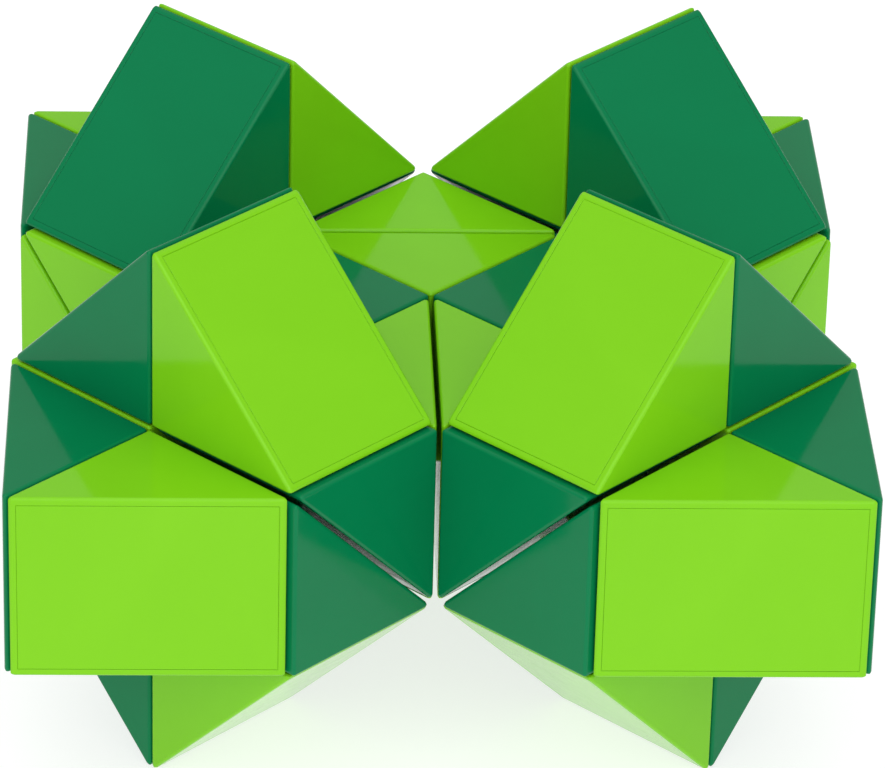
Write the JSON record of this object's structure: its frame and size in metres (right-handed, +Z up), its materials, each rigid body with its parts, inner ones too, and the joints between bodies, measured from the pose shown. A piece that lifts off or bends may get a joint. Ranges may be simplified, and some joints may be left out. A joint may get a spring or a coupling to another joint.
{
  "type": "twisty snake puzzle",
  "caption": "Chain of alternating light and dark green wedges on sprung pivots, folded into a four-armed star-like figure.",
  "frame": {"origin": "centre of the folded figure, on the surface that its four lower ridges rest on", "axes": "+Z up; X and Y run along the four arms, and the camera side is -X -Y"},
  "size_m": [0.1004, 0.1004, 0.0495],
  "materials": {
    "light_green": "glossy moulded ABS",
    "dark_green": "glossy moulded ABS",
    "bolt_steel": "zinc-plated steel",
    "spring_steel": "drawn spring steel wire"
  },
  "bodies": {
    "link_01": {"link_01_shell": "light_green", "link_01_cover": "light_green", "link_01_spring": "spring_steel"},
    "link_02": {"link_02": "dark_green"},
    "link_03": {"link_03": "light_green"},
    "link_04": {"link_04": "dark_green"},
    "link_05": {"link_05": "light_green"},
    "link_06": {"link_06": "dark_green"},
    "link_07": {"link_07": "light_green"},
    "link_08": {"link_08": "dark_green"},
    "link_09": {"link_09": "light_green"},
    "link_10": {"link_10_shell": "dark_green", "link_10_cover": "dark_green", "link_10_bolt": "bolt_steel", "link_10_spring": "spring_steel"},
    "link_11": {"link_11": "light_green"},
    "link_12": {"link_12": "dark_green"},
    "link_13": {"link_13": "light_green"},
    "link_14": {"link_14": "dark_green"},
    "link_15": {"link_15": "light_green"},
    "link_16": {"link_16": "dark_green"},
    "link_17": {"link_17": "light_green"},
    "link_18": {"link_18": "dark_green"},
    "link_19": {"link_19": "light_green"},
    "link_20": {"link_20": "dark_green"},
    "link_21": {"link_21": "light_green"},
    "link_22": {"link_22": "dark_green"},
    "link_23": {"link_23": "light_green"},
    "link_24": {"link_24": "dark_green"},
    "link_25": {"link_25": "light_green"},
    "link_26": {"link_26": "dark_green"},
    "link_27": {"link_27": "light_green"},
    "link_28": {"link_28": "dark_green"},
    "link_29": {"link_29": "light_green"},
    "link_30": {"link_30": "dark_green"},
    "link_31": {"link_31": "light_green"},
    "link_32": {"link_32": "dark_green"},
    "link_33": {"link_33": "light_green"},
    "link_34": {"link_34": "dark_green"},
    "link_35": {"link_35": "light_green"},
    "link_36": {"link_36": "dark_green"},
    "link_37": {"link_37": "light_green"},
    "link_38": {"link_38": "dark_green"},
    "link_39": {"link_39_shell": "light_green", "link_39_cover": "light_green", "link_39_bolt": "bolt_steel", "link_39_spring": "spring_steel"},
    "link_40": {"link_40": "dark_green"},
    "link_41": {"link_41": "light_green"},
    "link_42": {"link_42": "dark_green"},
    "link_43": {"link_43": "light_green"},
    "link_44": {"link_44": "dark_green"},
    "link_45": {"link_45": "light_green"},
    "link_46": {"link_46": "dark_green"},
    "link_47": {"link_47": "light_green"},
    "link_48": {"link_48_shell": "dark_green", "link_48_cover": "dark_green", "link_48_bolt": "bolt_steel"}
  },
  "joints": [
    {"name": "pivot_38_39", "type": "hinge", "parent": "link_38", "child": "link_39", "pos_m": [-0.0085, 0.017, 0.02474], "axis": [0, 1, 0], "continuous": true},
    {"name": "pivot_09_10", "type": "hinge", "parent": "link_10", "child": "link_09", "pos_m": [0.0255, 0, 0.04174], "axis": [0, -1, 0], "range_deg": [0, 180]},
    {"name": "pivot_29_30", "type": "hinge", "parent": "link_29", "child": "link_30", "pos_m": [-0.0255, 0, 0.04174], "axis": [0, 1, 0], "range_deg": [0, 180]},
    {"name": "pivot_40_41", "type": "hinge", "parent": "link_40", "child": "link_41", "pos_m": [0, 0.0255, 0.04174], "axis": [1, 0, 0], "range_deg": [0, 180]},
    {"name": "pivot_01_02", "type": "hinge", "parent": "link_02", "child": "link_01", "pos_m": [0.017, 0.0085, 0.02474], "axis": [1, 0, 0], "range_deg": [-0.15, 0.15]},
    {"name": "pivot_02_03", "type": "hinge", "parent": "link_03", "child": "link_02", "pos_m": [0.0255, 0.0085, 0.01624], "axis": [0, 0, 1], "range_deg": [-0.15, 0.15]},
    {"name": "pivot_03_04", "type": "hinge", "parent": "link_04", "child": "link_03", "pos_m": [0.0255, 0, 0.00774], "axis": [0, -1, 0], "range_deg": [-0.15, 0.15]},
    {"name": "pivot_04_05", "type": "hinge", "parent": "link_05", "child": "link_04", "pos_m": [0.0255, -0.0085, 0.01624], "axis": [0, 0, -1], "range_deg": [-0.15, 0.15]},
    {"name": "pivot_05_06", "type": "hinge", "parent": "link_06", "child": "link_05", "pos_m": [0.034, -0.0085, 0.02474], "axis": [-1, 0, 0], "range_deg": [-0.15, 0.15]},
    {"name": "pivot_06_07", "type": "hinge", "parent": "link_07", "child": "link_06", "pos_m": [0.0425, 0, 0.02474], "axis": [0, 1, 0], "range_deg": [-0.15, 0.15]},
    {"name": "pivot_07_08", "type": "hinge", "parent": "link_08", "child": "link_07", "pos_m": [0.034, 0.0085, 0.02474], "axis": [1, 0, 0], "range_deg": [-0.15, 0.15]},
    {"name": "pivot_08_09", "type": "hinge", "parent": "link_09", "child": "link_08", "pos_m": [0.0255, 0.0085, 0.03324], "axis": [0, 0, -1], "range_deg": [-0.15, 0.15]},
    {"name": "pivot_10_11", "type": "hinge", "parent": "link_11", "child": "link_10", "pos_m": [0.0255, -0.0085, 0.03324], "axis": [0, 0, -1], "range_deg": [-0.15, 0.15]},
    {"name": "pivot_11_12", "type": "hinge", "parent": "link_12", "child": "link_11", "pos_m": [0.017, -0.0085, 0.02474], "axis": [1, 0, 0], "range_deg": [-0.15, 0.15]},
    {"name": "pivot_12_13", "type": "hinge", "parent": "link_13", "child": "link_12", "pos_m": [0.0085, -0.017, 0.02474], "axis": [0, -1, 0], "range_deg": [-0.15, 0.15]},
    {"name": "pivot_13_14", "type": "hinge", "parent": "link_14", "child": "link_13", "pos_m": [0.0085, -0.0255, 0.01624], "axis": [0, 0, 1], "range_deg": [-0.15, 0.15]},
    {"name": "pivot_14_15", "type": "hinge", "parent": "link_15", "child": "link_14", "pos_m": [0, -0.0255, 0.00774], "axis": [-1, 0, 0], "range_deg": [-0.15, 0.15]},
    {"name": "pivot_15_16", "type": "hinge", "parent": "link_16", "child": "link_15", "pos_m": [-0.0085, -0.0255, 0.01624], "axis": [0, 0, -1], "range_deg": [-0.15, 0.15]},
    {"name": "pivot_16_17", "type": "hinge", "parent": "link_17", "child": "link_16", "pos_m": [-0.0085, -0.034, 0.02474], "axis": [0, 1, 0], "range_deg": [-0.15, 0.15]},
    {"name": "pivot_17_18", "type": "hinge", "parent": "link_18", "child": "link_17", "pos_m": [0, -0.0425, 0.02474], "axis": [1, 0, 0], "range_deg": [-0.15, 0.15]},
    {"name": "pivot_18_19", "type": "hinge", "parent": "link_19", "child": "link_18", "pos_m": [0.0085, -0.034, 0.02474], "axis": [0, -1, 0], "range_deg": [-0.15, 0.15]},
    {"name": "pivot_19_20", "type": "hinge", "parent": "link_20", "child": "link_19", "pos_m": [0.0085, -0.0255, 0.03324], "axis": [0, 0, 1], "range_deg": [-0.15, 0.15]},
    {"name": "pivot_20_21", "type": "hinge", "parent": "link_21", "child": "link_20", "pos_m": [0, -0.0255, 0.04174], "axis": [1, 0, 0], "range_deg": [-0.15, 0.15]},
    {"name": "pivot_21_22", "type": "hinge", "parent": "link_22", "child": "link_21", "pos_m": [-0.0085, -0.0255, 0.03324], "axis": [0, 0, -1], "range_deg": [-0.15, 0.15]},
    {"name": "pivot_22_23", "type": "hinge", "parent": "link_23", "child": "link_22", "pos_m": [-0.0085, -0.017, 0.02474], "axis": [0, 1, 0], "range_deg": [-0.15, 0.15]},
    {"name": "pivot_23_24", "type": "hinge", "parent": "link_24", "child": "link_23", "pos_m": [0, -0.0085, 0.02474], "axis": [1, 0, 0], "range_deg": [-0.15, 0.15]},
    {"name": "pivot_24_25", "type": "hinge", "parent": "link_25", "child": "link_24", "pos_m": [0.0085, 0, 0.02474], "axis": [0, 1, 0], "range_deg": [-0.15, 0.15]},
    {"name": "pivot_25_26", "type": "hinge", "parent": "link_25", "child": "link_26", "pos_m": [0, 0.0085, 0.02474], "axis": [-1, 0, 0], "range_deg": [-0.15, 0.15]},
    {"name": "pivot_26_27", "type": "hinge", "parent": "link_26", "child": "link_27", "pos_m": [-0.0085, 0, 0.02474], "axis": [0, -1, 0], "range_deg": [-0.15, 0.15]},
    {"name": "pivot_27_28", "type": "hinge", "parent": "link_27", "child": "link_28", "pos_m": [-0.017, -0.0085, 0.02474], "axis": [1, 0, 0], "range_deg": [-0.15, 0.15]},
    {"name": "pivot_28_29", "type": "hinge", "parent": "link_28", "child": "link_29", "pos_m": [-0.0255, -0.0085, 0.03324], "axis": [0, 0, -1], "range_deg": [-0.15, 0.15]},
    {"name": "pivot_30_31", "type": "hinge", "parent": "link_30", "child": "link_31", "pos_m": [-0.0255, 0.0085, 0.03324], "axis": [0, 0, 1], "range_deg": [-0.15, 0.15]},
    {"name": "pivot_31_32", "type": "hinge", "parent": "link_31", "child": "link_32", "pos_m": [-0.034, 0.0085, 0.02474], "axis": [-1, 0, 0], "range_deg": [-0.15, 0.15]},
    {"name": "pivot_32_33", "type": "hinge", "parent": "link_32", "child": "link_33", "pos_m": [-0.0425, 0, 0.02474], "axis": [0, 1, 0], "range_deg": [-0.15, 0.15]},
    {"name": "pivot_33_34", "type": "hinge", "parent": "link_33", "child": "link_34", "pos_m": [-0.034, -0.0085, 0.02474], "axis": [1, 0, 0], "range_deg": [-0.15, 0.15]},
    {"name": "pivot_34_35", "type": "hinge", "parent": "link_34", "child": "link_35", "pos_m": [-0.0255, -0.0085, 0.01624], "axis": [0, 0, 1], "range_deg": [-0.15, 0.15]},
    {"name": "pivot_35_36", "type": "hinge", "parent": "link_35", "child": "link_36", "pos_m": [-0.0255, 0, 0.00774], "axis": [0, 1, 0], "range_deg": [-0.15, 0.15]},
    {"name": "pivot_36_37", "type": "hinge", "parent": "link_36", "child": "link_37", "pos_m": [-0.0255, 0.0085, 0.01624], "axis": [0, 0, -1], "range_deg": [-0.15, 0.15]},
    {"name": "pivot_37_38", "type": "hinge", "parent": "link_37", "child": "link_38", "pos_m": [-0.017, 0.0085, 0.02474], "axis": [-1, 0, 0], "range_deg": [-0.15, 0.15]},
    {"name": "pivot_39_40", "type": "hinge", "parent": "link_39", "child": "link_40", "pos_m": [-0.0085, 0.0255, 0.03324], "axis": [0, 0, 1], "range_deg": [-0.15, 0.15]},
    {"name": "pivot_41_42", "type": "hinge", "parent": "link_41", "child": "link_42", "pos_m": [0.0085, 0.0255, 0.03324], "axis": [0, 0, 1], "range_deg": [-0.15, 0.15]},
    {"name": "pivot_42_43", "type": "hinge", "parent": "link_42", "child": "link_43", "pos_m": [0.0085, 0.034, 0.02474], "axis": [0, -1, 0], "range_deg": [-0.15, 0.15]},
    {"name": "pivot_43_44", "type": "hinge", "parent": "link_43", "child": "link_44", "pos_m": [0, 0.0425, 0.02474], "axis": [1, 0, 0], "range_deg": [-0.15, 0.15]},
    {"name": "pivot_44_45", "type": "hinge", "parent": "link_44", "child": "link_45", "pos_m": [-0.0085, 0.034, 0.02474], "axis": [0, 1, 0], "range_deg": [-0.15, 0.15]},
    {"name": "pivot_45_46", "type": "hinge", "parent": "link_45", "child": "link_46", "pos_m": [-0.0085, 0.0255, 0.01624], "axis": [0, 0, -1], "range_deg": [-0.15, 0.15]},
    {"name": "pivot_46_47", "type": "hinge", "parent": "link_46", "child": "link_47", "pos_m": [0, 0.0255, 0.00774], "axis": [-1, 0, 0], "range_deg": [-0.15, 0.15]},
    {"name": "pivot_47_48", "type": "hinge", "parent": "link_47", "child": "link_48", "pos_m": [0.0085, 0.0255, 0.01624], "axis": [0, 0, -1], "range_deg": [-0.15, 0.15]}
  ]
}
